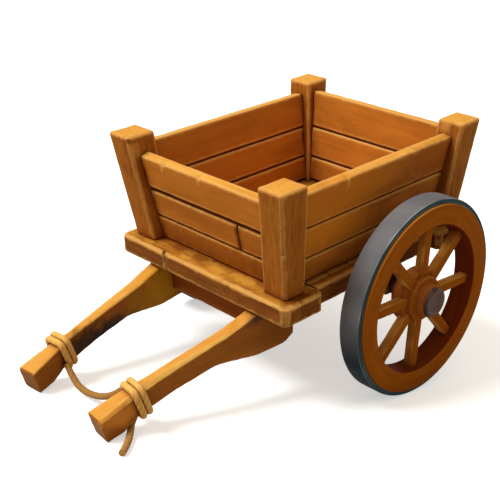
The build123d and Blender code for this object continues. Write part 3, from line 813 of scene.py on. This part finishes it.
@dataclass
class Shaft:
    """A carved shaft, drawn as rings of points from its root to its handle's end."""

    dresser: Dresser
    side: Side
    root_x: float = 284.0
    root_y: float = -536.0
    sill_bottom: float = 68.0
    splay: float = 6.0
    tail: float = -91.0
    tip: float = 747.0                  # the middle of the end face
    tip_lean: float = 15.0              # degrees that the end face leans back below
    lean_from: float = 610.0
    level_until: float = 733.0          # beyond it the middle's height stays
    step: float = 11.0
    outer_bevels: tuple[Pair, ...] = (
        # forward, width of the facet between the top and the outer side
        (-91, 4), (250, 6), (430, 10), (500, 14), (560, 17), (620, 13), (760, 9))
    small_bevel: float = 5.0
    steps_high: int = 5                 # between two corners, up and down
    steps_wide: int = 9                 # the same, across
    end_round: float = 5.0
    end_rings: tuple[float, ...] = (9.0, 14.0, 20.0, 28.0)
    end_grain: str = "#8c5a1c"
    wander: float = 2.0
    wear: float = 3.0
    crease: float = 28.0
    seed: int = 70

    def to_level(self) -> Matrix:
        """The matrix to the level frame from the shaft's: forward, outward, up from the sill."""
        turn = math.radians(self.splay)
        sign = self.side.value
        forward = Vector((-sign * math.sin(turn), -math.cos(turn), 0))
        outward = Vector((sign * math.cos(turn), -math.sin(turn), 0))
        matrix = Matrix((forward, outward, Vector((0, 0, 1)))).transposed().to_4x4()
        matrix.translation = Vector((sign * self.root_x, self.root_y, self.sill_bottom)) * MM
        return matrix

    def stations(self) -> list[Pair]:
        """Lists where the rings are: forward, and degrees that the ring leans."""
        start, length = self.tail + self.end_round, self.tip - self.tail - 2 * self.end_round
        count = round(length / self.step)
        made = [(self.tail + 0.5, 0.0)]
        for number in range(count + 1):
            forward = start + length * number / count
            share = max(0.0, (forward - self.lean_from) / (self.tip - self.lean_from))
            made.append((forward, self.tip_lean * share))
        return made + [(self.tip - 0.5, self.tip_lean)]

    def section(self, solid: Mesh, place: Vector, normal: Vector) -> list[Vector]:
        """Cuts the solid with a plane.

        Args:
            solid: The shaft's solid in its own frame, in metres.
            place: A point of the plane.
            normal: What the plane is square to.

        Returns:
            The points of the cut.
        """
        cut = solid.copy()
        found = bmesh.ops.bisect_plane(cut, geom=cut.verts[:] + cut.edges[:] + cut.faces[:],
                                       dist=1e-6, plane_co=place, plane_no=normal)
        points = [v.co.copy() for v in found["geom_cut"] if isinstance(v, Vert)]
        cut.free()
        return points

    def ring(self, solid: Mesh, forward: float, lean: float, shrink: float) -> list[Vector]:
        """Works out one ring of points from the solid's section there.

        Args:
            solid: The shaft's solid in its own frame, in metres.
            forward: Where the ring is at the middle of the shaft, mm.
            lean: Degrees that it leans back below.
            shrink: How far the ring is drawn in, mm.

        Returns:
            The points, in order round the shaft.
        """
        upright = self.section(solid, Vector((min(forward, self.level_until) * MM, 0, 0)),
                               Vector((1, 0, 0)))
        heights = [point.z for point in upright]
        middle = Vector((forward * MM, 0, (min(heights) + max(heights)) / 2))
        angle = math.radians(lean)
        up = Vector((math.sin(angle), 0, math.cos(angle)))
        normal = Vector((math.cos(angle), 0, -math.sin(angle)))
        points = [point - middle for point in self.section(solid, middle, normal)]
        (low, high), (left, right) = (
            (min(reach) + shrink * MM, max(reach) - shrink * MM)
            for reach in ([p.dot(up) for p in points], [p.y for p in points]))
        facet = float(np.interp(forward, *zip(*self.outer_bevels)))
        corners = (
            # outward, up, bevel, steps to the next corner
            (right, high, facet, self.steps_high), (left, high, self.small_bevel, self.steps_wide),
            (left, low, self.small_bevel, self.steps_high),
            (right, low, self.small_bevel, self.steps_wide))
        facets = []
        for number, (out, height, bevel, _) in enumerate(corners):
            here = Vector((out, height))
            others = (Vector(corners[(number + way) % 4][:2]) for way in (-1, 1))
            facets.append([here + (other - here).normalized() * bevel * MM for other in others])
        outline: list[Vector] = []
        for number, (out, height, bevel, steps) in enumerate(corners):
            here = Vector((out, height))
            start, end = facets[number]
            goal = facets[(number + 1) % 4][0]
            # The facet's own two corners are drawn in a little, so that light catches them.
            soft = 0.35 * (0.18 * bevel + 0.6) * MM
            for share, drop in ((0.0, soft), (0.22, 0.0), (0.78, 0.0), (1.0, soft)):
                point = start.lerp(end, share)
                outline.append(point - (here - point).normalized() * drop)
            outline += [end.lerp(goal, step / steps) for step in range(1, steps)]
        return [middle + up * point.y + Vector((0, point.x, 0)) for point in outline]

    def build(self) -> None:
        """Builds the shaft: its rings are joined from the root to the handle's end."""
        node = f"shaft_{self.side.word}"
        own = self.to_level()
        seed = self.seed + self.side.value
        solid = self.dresser.level_copy(node)
        solid.transform(own.inverted())
        segments = ends_of(sharp_edges(solid, 35.0))
        places = self.stations()
        shrinks = [self.end_round] + [0.0] * (len(places) - 2) + [self.end_round]
        rings = [self.ring(solid, *place, shrink) for place, shrink in zip(places, shrinks)]
        rings += [self.ring(solid, *places[-1], shrink) for shrink in self.end_rings]
        solid.free()
        bm = bmesh.new()
        order, layer = (bm.verts.layers.int.new(name) for name in ("order", "ring"))
        verts = [bm.verts.new(point) for point in rings[0]]
        for number, vert in enumerate(verts):
            vert[order] = number
        edges = [bm.edges.new((verts[i - 1], verts[i])) for i in range(len(verts))]
        bmesh.ops.contextual_create(bm, geom=edges)
        for number, ring in enumerate(rings[1:], 1):
            verts, edges = extrude(bm, edges)
            for vert in verts:
                vert.co = ring[vert[order]]
                vert[layer] = number
        bmesh.ops.contextual_create(bm, geom=edges)
        bmesh.ops.recalc_face_normals(bm, faces=bm.faces)
        weather(bm, segments, seed, self.wander, self.wear)
        set_grain(bm, Along.ACROSS, seed)
        bm.transform(own)
        set_paint(bm, TOUCHES.get(node, ()))
        layer, paint = bm.verts.layers.int["ring"], bm.verts.layers.float_color["paint"]
        for vert in (v for v in bm.verts if v[layer] > len(places)):
            vert[paint] = hex_to_linear(self.end_grain, 0.9)
        self.dresser.piece(bm, node, crease=self.crease)


@dataclass
class Wheel:
    """A wheel: iron tyre, felloes, eight spokes, stepped hub and iron cap."""

    dresser: Dresser
    side: Side
    radius: float = 400.0
    tyre_thickness: float = 20.0
    tyre_width: float = 90.0
    rim_depth: float = 80.0
    rim_back: float = 5.0
    rim_proud: float = 10.0
    tyre_round: tuple[float, ...] = (1, 6, 5, 1)    # inner corner, outer ones, inner corner
    rim_round: tuple[float, ...] = (3, 1, 4, 5)     # back inside, back, face, face inside
    spoke_count: int = 8
    spoke_phase: float = -5.0
    spoke_thickness: float = 40.0
    spoke_hub_width: float = 43.0
    spoke_rim_width: float = 37.0
    spoke_set_back: float = 28.0
    spoke_start: float = 60.0           # the foot of a spoke, inside the hub
    spoke_tenon: float = 20.0           # how far its head goes into the rim
    spoke_round: float = 6.0
    spoke_rows: int = 24
    spoke_flank: str = "#e8a450"        # painted light on the faces along the rim
    hub_profile: tuple[Point, ...] = (
        # outward from the tyre's inner face, radius, rounding
        (-20, 22.05, 0), (-20, 78, 5), (8, 78, 2), (8, 110, 5), (64, 110, 8), (64, 90, 2),
        (88, 90, 7), (88, 65, 2), (120, 65, 5), (120, 22.05, 0))
    cap_profile: tuple[Point, ...] = (
        (120, 0, 0), (120, 58, 1), (138, 58, 6), (138, 44, 2), (134, 40, 2), (134, 0, 0))
    hub_round: str = "#c06e3a"          # the hub's turned surfaces, redder than the rest
    rim_inside: str = "#6e2810"         # painted shade on the rim's inner face
    inside_depth: float = 0.9           # how deep that face is taken to be, mm
    grain_radius: float = 0.35          # metres; makes an angle on the rim a length of grain
    hub_seed: int = 40
    spoke_seed: int = 50
    steps: int = 192

    @property
    def face_x(self) -> float:
        """The tyre's inner face, level millimetres from the middle."""
        low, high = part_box(f"tyre_{self.side.word}")
        return (low[0] if self.side is Side.LEFT else -high[0]) / MM

    def dress(self, bm: Mesh, name: str) -> None:
        """Makes a mesh the wheel's piece of that name."""
        self.dresser.piece(bm, f"{name}_{self.side.word}", Body[f"WHEEL_{self.side.name}"])

    def turned(self, profile: Sequence[Point], closed: bool = True) -> Mesh:
        """Turns a profile about the axle.

        Args:
            profile: Outward from the tyre's inner face, radius and rounding of each corner.
            closed: Whether the profile is a ring; else its ends are on the axle.

        Returns:
            The mesh, with the wear distance of each vertex.
        """
        bm = bmesh.new()
        base, count = self.face_x, len(profile)
        rounding = {bm.verts.new((self.side.value * (base + x) * MM, 0, radius * MM)): size
                    for x, radius, size in profile}
        verts = list(rounding)
        for number in range(count if closed else count - 1):
            bm.edges.new((verts[number], verts[(number + 1) % count]))
        corners = [np.array(v.co[:]) for v in verts if rounding[v] > 0]
        for size in sorted({s for s in rounding.values() if s > 0}):
            chosen = [v for v in verts if v.is_valid and rounding[v] == size]
            round_off(bm, chosen, size, 3, "VERTICES")
        bmesh.ops.spin(bm, geom=bm.verts[:] + bm.edges[:], cent=(0, 0, 0), axis=(1, 0, 0),
                       angle=FULL_TURN, steps=self.steps, use_merge=True)
        bmesh.ops.remove_doubles(bm, verts=bm.verts, dist=0.01 * MM)
        bmesh.ops.recalc_face_normals(bm, faces=bm.faces)
        layer = bm.verts.layers.float.new("edge")
        for vert in bm.verts:
            flat = np.array((vert.co.x, 0, math.hypot(vert.co.y, vert.co.z)))
            vert[layer] = min(float(np.linalg.norm(flat - corner)) for corner in corners) / MM
        return bm

    def set_felloes(self, bm: Mesh) -> None:
        """Gives the rim a grain that follows each of its felloes round, and painted shade on its inside.

        Args:
            bm: The rim's mesh.
        """
        layer = bm.loops.layers.float_vector.new("grain")
        paint = bm.verts.layers.float_color.new("paint")
        turn_of_one = FULL_TURN / self.spoke_count
        inside = (self.radius - self.tyre_thickness - self.rim_depth) * MM
        # The rim's inner face is painted in shade.
        for vert in bm.verts:
            depth = math.hypot(vert.co.y, vert.co.z) - inside
            share = 0.92 if depth < self.inside_depth * MM else 0.0
            vert[paint] = hex_to_linear(self.rim_inside, share)
        for face in bm.faces:
            middle = face.calc_center_median()
            turn = math.atan2(middle.z, middle.y) - math.radians(self.spoke_phase)
            felloe = math.floor(turn / turn_of_one + 0.5)
            for loop in face.loops:
                place = loop.vert.co
                angle = math.atan2(place.z, place.y) - felloe * turn_of_one
                angle = (angle + math.pi) % FULL_TURN - math.pi
                loop[layer] = (angle * self.grain_radius + felloe * 3.1,
                               math.hypot(place.y, place.z), place.x + felloe * 0.7)

    def build_rim(self) -> None:
        """Builds the tyre and the rim under it."""
        outer, inner, width = self.radius, self.radius - self.tyre_thickness, self.tyre_width
        back, face, inside = self.rim_back, width + self.rim_proud, inner - self.rim_depth
        tyre, rim = (
            self.turned([(x, radius, size) for (x, radius), size in zip(corners, rounding)])
            for corners, rounding in (
                (((0, inner), (0, outer), (width, outer), (width, inner)), self.tyre_round),
                (((back, inside), (back, inner), (face, inner), (face, inside)), self.rim_round)))
        weather_round(tyre, beyond=inner + 4, pitch=7.0, depth=1.2)
        self.dress(tyre, "tyre")
        self.set_felloes(rim)
        self.dress(rim, "rim")

    def build_hub(self) -> None:
        """Builds the stepped hub and its iron cap."""
        hub = self.turned(self.hub_profile)
        weather_round(hub, beyond=40.0, pitch=16.0, depth=1.5)
        set_grain(hub, Along.ACROSS, self.hub_seed + self.side.value)
        paint = hub.verts.layers.float_color.new("paint")
        hub.normal_update()
        for vert in hub.verts:
            sideways = abs(vert.normal.x)
            vert[paint] = hex_to_linear(self.hub_round, 0.6 * max(0.0, 1 - sideways * 1.2))
        self.dress(hub, "hub")
        self.dress(self.turned(self.cap_profile, closed=False), "hub_cap")

    def spoke(self, number: int, middle: float) -> Mesh:
        """Makes a spoke from a cube that is tapered, rounded and worn, with painted light on its flanks.

        Args:
            number: Which spoke.
            middle: How far out its middle is from the cart's, mm.

        Returns:
            Its mesh.
        """
        start = self.spoke_start
        end = self.radius - self.tyre_thickness - self.rim_depth + self.spoke_tenon
        bm = bmesh.new()
        bmesh.ops.create_cube(bm, size=1.0)
        for vert in bm.verts:
            width, radius = ((self.spoke_hub_width, start) if vert.co.z < 0
                             else (self.spoke_rim_width, end))
            vert.co = Vector((vert.co.x * self.spoke_thickness, vert.co.y * width, radius)) * MM
        segments = ends_of(bm.edges)
        round_off(bm, bm.edges[:], self.spoke_round, 3)
        rows, seed = self.spoke_rows, self.spoke_seed + number
        slice_mesh(bm, 2, [(start + (end - start) * i / rows) * MM for i in range(1, rows)])
        weather(bm, segments, seed, wander=1.4, wear=1.5)
        set_grain(bm, Along.UPRIGHT, seed)
        paint = bm.verts.layers.float_color.new("paint")
        # The faces along the rim get painted light, broken up by a cloud.
        for vert in bm.verts:
            flank = min(1.0, max(0.0, (abs(vert.normal.y) - 0.5) / 0.4))
            cloud = noise.noise(vert.co * 13.0 + Vector((number * 2.3, 0, 0)))
            flank *= min(1.0, max(0.25, 0.75 + 2.0 * cloud))
            vert[paint] = hex_to_linear(self.spoke_flank, 0.9 * flank)
        # A turn about the axle takes +Z to the spoke's own direction.
        angle = math.radians(self.spoke_phase + 360 * number / self.spoke_count)
        turn = Matrix.Rotation(angle - math.pi / 2, 4, "X")
        bm.transform(Matrix.Translation((self.side.value * middle * MM, 0, 0)) @ turn)
        return bm

    def build_spokes(self) -> None:
        """Builds the spokes as one piece."""
        whole = bmesh.new()
        layers = whole.verts.layers
        for kind, name in ((layers.float_vector, "grain"), (layers.float, "edge"),
                           (layers.float_color, "paint")):
            kind.new(name)
        middle = (self.face_x + self.tyre_width + self.rim_proud - self.spoke_set_back
                  - self.spoke_thickness / 2)
        for number in range(self.spoke_count):
            mesh = add_mesh("spoke", self.spoke(number, middle))
            whole.from_mesh(mesh)
            bpy.data.meshes.remove(mesh)
        self.dress(whole, "spokes")

    def build(self) -> None:
        """Builds the wheel."""
        self.build_rim()
        self.build_spokes()
        self.build_hub()


@dataclass
class Axle:
    """The forged iron bar with its collars and arms."""

    dresser: Dresser
    node: str = "axle_bar"
    arris: float = 1.5
    sharp: float = 50.0             # degrees; the arms' own facets are less

    def build(self) -> None:
        """Builds the axle from its solid."""
        bm = self.dresser.level_copy(self.node)
        edges = sharp_edges(bm, self.sharp)
        segments = ends_of(edges)
        round_off(bm, edges, self.arris, 2)
        set_edge(bm, segments)
        self.dresser.piece(bm, self.node)


@dataclass
class Rope:
    """The rope: a lashing of two turns on each shaft, the slack between them and a loose tail."""

    dresser: Dresser
    diameter: float = 25.0
    lay_mm: float = 84.0                # length in which a strand goes once round
    strand_depth: float = 0.05          # how deep the grooves between strands are, of the radius
    strands: int = 3
    points_round: int = 24
    crease: float = 75.0
    lashing_forward: float = 586.0
    lashing_drop: float = 162.0
    lashing_width: float = 56.0
    lashing_depth: float = 92.0
    lashing_slope: float = 17.0
    lashing_pitch: float = 25.6
    route: tuple[Point, ...] = (
        # across from the middle, forward of the lashings, drop below their centres
        (-178, 12, 36), (-130, 20, 76), (-76, 23, 95), (-12, 22, 88), (46, 19, 70), (96, 14, 43),
        (140, 9, 8), (176, 5, -28))
    length: float = 0.408               # metres, as the photo shows it from end to end
    tail_route: tuple[Point, ...] = (
        # outward and forward of the left lashing's centre, up from the floor
        (-10, -8, 51), (-5, 8, 30), (16, 29, 17), (48, 58, 12.7), (86, 100, 12.9),
        (118, 144, 12.7))
    tail_length: float = 0.213

    def centre(self, side: Side) -> Vector:
        """The middle of a lashing in the level frame, in metres."""
        place = Vector((self.lashing_forward, 0, -self.lashing_drop)) * MM
        return Shaft(self.dresser, side).to_level() @ place

    def spline(self, name: str, points: Sequence[Vector], closed: bool = False) -> list[Vector]:
        """Lets a smooth line through a route.

        Args:
            name: A name for the curve.
            points: The route's points, which steer the line.
            closed: Whether it comes back to its start.

        Returns:
            Points on the line, closely spaced.
        """
        curve = bpy.data.curves.new(name, "CURVE")
        curve.dimensions = "3D"
        curve.resolution_u = 10
        spline = curve.splines.new("NURBS")
        spline.points.add(len(points) - 1)
        for control, place in zip(spline.points, points):
            control.co = (*place, 1)
        spline.order_u = 3
        spline.use_endpoint_u = not closed
        spline.use_cyclic_u = closed
        holder = bpy.data.objects.new(name, curve)
        mesh = bpy.data.meshes.new_from_object(holder)
        line = [v.co.copy() for v in mesh.vertices]
        bpy.data.meshes.remove(mesh)
        bpy.data.objects.remove(holder)
        bpy.data.curves.remove(curve)
        return line

    def twist(self, bm: Mesh, line: list[Vector], closed: bool = False,
              loose: float = 0.0) -> None:
        """Lays the strands along a line.

        Args:
            bm: The mesh that the rope is added to.
            line: The line's points.
            closed: Whether the line is a ring.
            loose: How much duller the free rope is than the tight turns, from 0 to 1.
        """
        layers = bm.verts.layers
        for kind, name in ((layers.float_vector, "lay"), (layers.float, "crown"),
                           (layers.float, "phase"), (layers.float, "loose")):
            if name not in kind:
                kind.new(name)
        lay, crown, phase, dull = (layers.float_vector["lay"], *(
            layers.float[name] for name in ("crown", "phase", "loose")))
        radius = self.diameter / 2 * MM
        stops = line + line[:1] if closed else line
        lengths = [0.0]
        for before, after in zip(stops, stops[1:]):
            lengths.append(lengths[-1] + (after - before).length)
        turns = lengths[-1] / (self.lay_mm * MM)
        if closed:
            turns = max(1, round(turns * self.strands)) / self.strands
        last = len(stops) - 1
        frames: list[Matrix] = []
        side = None
        for number, place in enumerate(stops):
            # At a line's end its last stretch gives the way, and a ring has none.
            before, after = ((number - 1) % last, number % last + 1) if closed else (
                max(number - 1, 0), min(number + 1, last))
            ahead = (stops[after] - stops[before]).normalized()
            side = side or ahead.orthogonal()
            side = (side - ahead * side.dot(ahead)).normalized()
            matrix = Matrix((side, ahead.cross(side), ahead)).transposed().to_4x4()
            matrix.translation = place
            turn = FULL_TURN * turns * lengths[number] / lengths[-1]
            frames.append(matrix @ Matrix.Rotation(turn, 4, "Z"))
        ring = bmesh.ops.create_circle(bm, segments=self.points_round, radius=radius)["verts"]
        for vert in ring:
            angle = math.atan2(vert.co.y, vert.co.x)
            lobe = abs(math.cos(self.strands / 2 * angle))
            vert.co *= 1 - self.strand_depth * (1 - lobe) ** 1.5
            vert[crown] = lobe
            vert[phase] = angle
        bmesh.ops.transform(bm, matrix=frames[0], verts=ring)
        edges = first = list(dict.fromkeys(e for vert in ring for e in vert.link_edges))
        for number in range(1, len(frames)):
            verts, edges = extrude(bm, edges)
            bmesh.ops.transform(bm, matrix=frames[number] @ frames[number - 1].inverted(),
                                verts=verts)
            for vert in verts:
                vert[lay] = (lengths[number], 0, 0)
        for rim in () if closed else (first, edges):
            bmesh.ops.contextual_create(bm, geom=rim)
        for vert in bm.verts:
            vert[dull] = loose
            across, up = math.cos(vert[phase]), math.sin(vert[phase])
            vert[lay] = (vert[lay][0], across * radius, up * radius)

    def dress(self, bm: Mesh, node: str) -> bpy.types.Object:
        """Turns a rope's faces outwards and makes it a piece."""
        bmesh.ops.recalc_face_normals(bm, faces=bm.faces)
        return self.dresser.piece(bm, node, crease=self.crease)

    def build_lashing(self, side: Side) -> bpy.types.Object:
        """Winds two turns round a shaft's neck.

        Args:
            side: Which shaft.

        Returns:
            The piece.
        """
        own = Shaft(self.dresser, side).to_level()
        slope = math.radians(self.lashing_slope)
        run = Vector((math.cos(slope), 0, -math.sin(slope)))
        up = Vector((math.sin(slope), 0, math.cos(slope)))
        middle = Vector((self.lashing_forward, 0, -self.lashing_drop))
        wide = (self.lashing_width + self.diameter) / 2
        deep = (self.lashing_depth + self.diameter) / 2
        bm = bmesh.new()
        for turn in (-0.5, 0.5):
            places = [middle + run * self.lashing_pitch * turn + up * height
                      + Vector((0, out, 0)) for out, height in (
                          (wide, 0), (wide, deep), (0, deep), (-wide, deep), (-wide, 0),
                          (-wide, -deep), (0, -deep), (wide, -deep))]
            line = self.spline("lashing_line", [own @ (p * MM) for p in places], closed=True)
            self.twist(bm, line, closed=True)
        bmesh.ops.remove_doubles(bm, verts=bm.verts, dist=0.05 * MM)
        return self.dress(bm, f"rope_lashing_{side.word}")

    def build(self) -> None:
        """Builds the lashings and the two lengths of free rope."""
        lashings = [self.build_lashing(side) for side in Side]
        middle = (self.centre(Side.LEFT) + self.centre(Side.RIGHT)) / 2
        level = [middle + Vector((x, -forward, -drop)) * MM for x, forward, drop in self.route]
        foot = PARKED @ self.centre(Side.LEFT)
        foot.z = 0.0
        tail = [PARKED.inverted() @ (foot + Vector((out, -forward, up)) * MM)
                for out, forward, up in self.tail_route]
        for node, points, loose, length, far_end, lay, held in (
                ("tow_rope", level, 0.9, self.length, "object", "hanging", lashings),
                ("rope_tail", tail, 0.75, self.tail_length, "bare", "loose", [])):
            line = self.spline(node, points)
            bm = bmesh.new()
            self.twist(bm, line, loose=loose)
            self.dress(bm, node)


@dataclass
class Studio:
    """The camera at the photograph's angle, soft light from the upper left, and a pale floor."""

    target: Point = (-30.5, -330.7, 111.7)      # level mm
    distance: float = 4046.0
    azimuth: float = 46.283
    elevation: float = 25.601
    roll: float = -0.807
    sensor: float = 36.0
    lens: float = 1017.88 * 36 / 500            # from its length in the photo's pixels
    key_from: Point = (-1.9, -4.3, 5.5)
    key_spread: float = 20.0                    # degrees that the key lamp covers in the sky
    key_strength: float = 2.35
    sky: float = 0.48
    sky_tint: tuple[float, float, float, float] = (1.0, 0.9, 0.72, 1.0)
    floor_half: float = 30.0                    # metres
    floor_grey: float = 0.4                     # to the light that falls on the cart
    floor_white: float = 0.95                   # to the camera
    floor_glow: float = 0.5

    def build_camera(self) -> None:
        """Places the camera against the parked cart as it was against the level one."""
        azimuth, elevation, roll = (
            math.radians(angle) for angle in (self.azimuth, self.elevation, self.roll))
        flat = math.cos(elevation)
        back = Vector((math.sin(azimuth) * flat, -math.cos(azimuth) * flat, math.sin(elevation)))
        right = Vector((math.cos(azimuth), math.sin(azimuth), 0))
        up = back.cross(right)
        across = math.cos(roll) * right + math.sin(roll) * up
        upward = -math.sin(roll) * right + math.cos(roll) * up
        pose = Matrix((across, upward, back)).transposed().to_4x4()
        pose.translation = (Vector(self.target) + back * self.distance) * MM
        camera = bpy.data.cameras.new("camera")
        camera.sensor_width = self.sensor
        camera.lens = self.lens
        holder = add_object("camera", camera)
        holder.matrix_world = PARKED @ pose
        bpy.context.scene.camera = holder

    def seen(self, graph: Graph) -> Socket:
        """Tells the camera's and the glossy rays from the light's: 1 for them, else 0."""
        rays = [graph.add("LightPath", (), f"Is {kind} Ray") for kind in ("Camera", "Glossy")]
        return graph.add("Math", rays, operation="MAXIMUM")

    def build_light(self) -> None:
        """Sets up the key lamp and an even sky that camera and gloss see as white."""
        lamp = bpy.data.lights.new("key", "SUN")
        lamp.angle = math.radians(self.key_spread)
        lamp.energy = self.key_strength
        holder = add_object("key", lamp)
        holder.location = self.key_from
        holder.rotation_euler = (-Vector(self.key_from)).to_track_quat("-Z", "Y").to_euler()
        world = bpy.data.worlds.new("studio")
        world.use_nodes = True
        graph = Graph(world.node_tree)
        seen = self.seen(graph)
        graph.plug(graph.tree.nodes["Background"], {
            "Color": graph.layered(self.sky_tint, (seen, WHITE)),
            "Strength": graph.add("MapRange", {0: seen, 3: self.sky, 4: 1.0})})
        bpy.context.scene.world = world

    def build_floor(self) -> None:
        """Lays the floor: grey to the light, white to the camera, with the cart's shadow on it."""
        material = bpy.data.materials.new("plain pale floor")
        material.use_nodes = True
        graph = Graph(material.node_tree)
        matt = graph.tree.nodes["Principled BSDF"]
        graph.plug(matt, {"Base Color": (*(self.floor_grey,) * 3, 1), "Roughness": 0.9,
                          "Specular IOR Level": 0.0})
        white = graph.add("BsdfDiffuse", ((*(self.floor_white,) * 3, 1),))
        glow = graph.add("Emission", (WHITE, self.floor_glow))
        bright = graph.add("AddShader", (white, glow))
        mixed = graph.add("MixShader", (self.seen(graph), matt.outputs[0], bright))
        graph.plug(graph.tree.nodes["Material Output"], {"Surface": mixed})
        bm = bmesh.new()
        bmesh.ops.create_grid(bm, x_segments=1, y_segments=1, size=self.floor_half)
        floor = add_object("floor", add_mesh("floor", bm))
        floor.data.materials.append(material)

    def build(self) -> None:
        """Builds the studio."""
        self.build_camera()
        self.build_light()
        self.build_floor()
        bpy.context.scene.view_settings.view_transform = "Standard"


NICKS: dict[str, tuple[Nick, ...]] = {
    "front_board_top": (
        Nick((-207, -607, 513), (15, 22, 34), (0, 7, -13)),
        Nick((-5, -607, 513), (13, 22, 30), (0, 6, -11))),
    "left_board_top": (Nick((424, -275, 535), (20, 12, 24), (-5, 0, -10)),),
    "post_front_left": (Nick((443, -629, 345), (16, 16, 7), (-7, 7, 0)),),
    "post_front_right": (Nick((-347, -660, 567), (14, 14, 16), (-5, 5, 0)),),
    "post_rear_left": (Nick((448, 453, 388), (18, 18, 12), (-8, -8, 0)),),
}
# Light tones: the wood's own pale and golden ones, and a tan of painted light.
PALE, GOLD, PAINTED_LIGHT = "#e8ae58", "#dc9c3c", "#cc7c30"
# Dark tones: painted shade, a bruise, a dark joint line that also serves as painted shadow, and a crack.
PAINTED_SHADE, BRUISE, JOINT_AND_SHADOW, SPLIT = "#6e380c", "#8a4a18", "#5c240a", "#2e1404"
TOUCHES: dict[str, tuple[Touch, ...]] = {
    "front_board_top": (
        Touch((-218, -592, 486), (11, 34, 34), PALE, 0.9),
        Touch((-12, -598, 492), (9, 30, 26), PALE, 0.9)),
    # The middle boards: a dark line at the butt joint, painted shade over the board, and a painted shadow along
    # the upper edge under the proud top board.
    "front_board_middle_long": (
        Touch((164, -560, 312), (10, 60, 120), JOINT_AND_SHADOW, 0.9, 3.0),
        Touch((0, -550, 312), (500, 90, 90), PAINTED_SHADE, 0.2),
        Touch((0, -575, 372), (900, 60, 17), JOINT_AND_SHADOW, 0.9)),
    "front_board_middle_short": (
        Touch((166, -560, 312), (9, 60, 120), JOINT_AND_SHADOW, 0.8, 3.0),
        Touch((240, -550, 312), (200, 90, 90), PAINTED_SHADE, 0.25),
        Touch((240, -575, 372), (400, 60, 17), JOINT_AND_SHADOW, 0.9)),
    # The bottom board is painted in shade, more towards its right end.
    "front_board_bottom": (
        Touch((0, -530, 200), (600, 90, 90), PAINTED_SHADE, 0.45),
        Touch((280, -530, 200), (200, 90, 90), PAINTED_SHADE, 0.35)),
    # The left wall: painted light towards the front, painted shade towards the wheel, and patches of painted light
    # and shade between.
    "left_board_top": (
        Touch((420, -330, 455), (44, 380, 130), "#d0781c", 0.6),
        Touch((420, 230, 455), (44, 260, 130), "#944a10", 0.6),
        Touch((421, -272, 508), (16, 9, 26), PALE, 0.85)),
    "left_board_middle": (
        Touch((400, -360, 320), (44, 330, 100), "#dc8420", 0.7),
        Touch((394, 60, 340), (30, 110, 34), PAINTED_LIGHT, 0.6),
        Touch((385, -40, 280), (30, 110, 30), PAINTED_SHADE, 0.4)),
    "left_board_bottom": (
        Touch((375, -300, 220), (30, 60, 34), PAINTED_LIGHT, 0.6),
        Touch((375, -120, 200), (30, 90, 60), PAINTED_SHADE, 0.45)),
    "post_front_left": (Touch((442, -626, 337), (18, 18, 8), PALE, 0.7),),
    # Painted light on the post's right face and near its top; a bruise at its dent.
    "post_front_right": (
        Touch((-306, -560, 350), (34, 100, 260), "#c07c30", 0.6),
        Touch((-342, -626, 530), (16, 26, 52), "#e0a050", 0.8),
        Touch((-346, -656, 568), (13, 16, 17), BRUISE, 0.9)),
    "post_rear_left": (Touch((388, 341, 562), (36, 20, 46), "#d89a48", 0.75),),
    "front_sill": (
        Touch((-190, -560, 149), (44, 34, 18), BRUISE, 0.9, 3.0),
        Touch((-60, -565, 149), (50, 26, 18), BRUISE, 0.8, 3.0),
        Touch((40, -530, 149), (64, 22, 18), BRUISE, 0.7, 3.0),
        Touch((-330, -600, 149), (34, 20, 18), GOLD, 0.8, 3.0),
        Touch((-110, -600, 149), (40, 20, 18), GOLD, 0.75, 3.0),
        Touch((60, -590, 149), (50, 24, 18), GOLD, 0.85, 3.0),
        Touch((190, -570, 149), (80, 32, 18), GOLD, 0.9, 3.0),
        Touch((0, -545, 149), (14, 12, 12), "#3a3028", 0.9),
        # Painted shadow beside the near post's foot.
        Touch((432, -540, 149), (34, 120, 18), "#6e300c", 0.9),
        Touch((456, -630, 108), (22, 22, 70), "#b47834", 0.6),
        Touch((-204, -628, 149), (7, 20, 16), SPLIT, 1.0),
        Touch((-195, -636, 125), (7, 18, 22), SPLIT, 1.0),
        Touch((-186, -636, 98), (7, 18, 24), SPLIT, 1.0),
        Touch((-178, -636, 74), (7, 18, 20), SPLIT, 1.0)),
    # Painted shadow of the wall on the sill's top.
    "side_sill_left": (Touch((380, -300, 149), (34, 300, 18), "#7a3c14", 0.85),),
    "front_crossbeam": (Touch((0, -560, 20), (500, 200, 200), "#a8561e", 0.7),),
    # Painted shadow under the sill at the root, painted shade down the side there, and painted light on the
    # handle's upper band.
    "shaft_left": (
        Touch((318, -632, 48), (36, 52, 34), "#4a3430", 0.85, 2.4),
        Touch((326, -540, -30), (40, 170, 120), PAINTED_SHADE, 0.35),
        Touch((250, -1205, -115), (24, 115, 46), "#dc8c34", 0.85)),
    # Painted light on the side near the root, then painted shade, blue-black, down the inner side.
    "shaft_right": (
        Touch((-250, -610, -20), (34, 190, 130), "#dc9a22", 0.85),
        Touch((-232, -755, -50), (30, 90, 80), "#b88020", 0.8),
        Touch((-203, -1040, -100), (34, 130, 90), "#4c2c10", 0.9),
        Touch((-212, -960, -120), (34, 210, 96), "#3a2410", 0.95),
        Touch((-222, -860, -112), (34, 140, 80), "#1c242a", 1.0)),
}


def main() -> None:
    """Builds the cart and the studio."""
    logging.basicConfig(level=logging.INFO, format="%(name)s: %(message)s")
    dresser = Dresser()
    Studio().build()
    Bodywork(dresser).build()
    for side in Side:
        Shaft(dresser, side).build()
        Wheel(dresser, side).build()
    Axle(dresser).build()
    Rope(dresser).build()


if __name__ == "__main__":
    main()
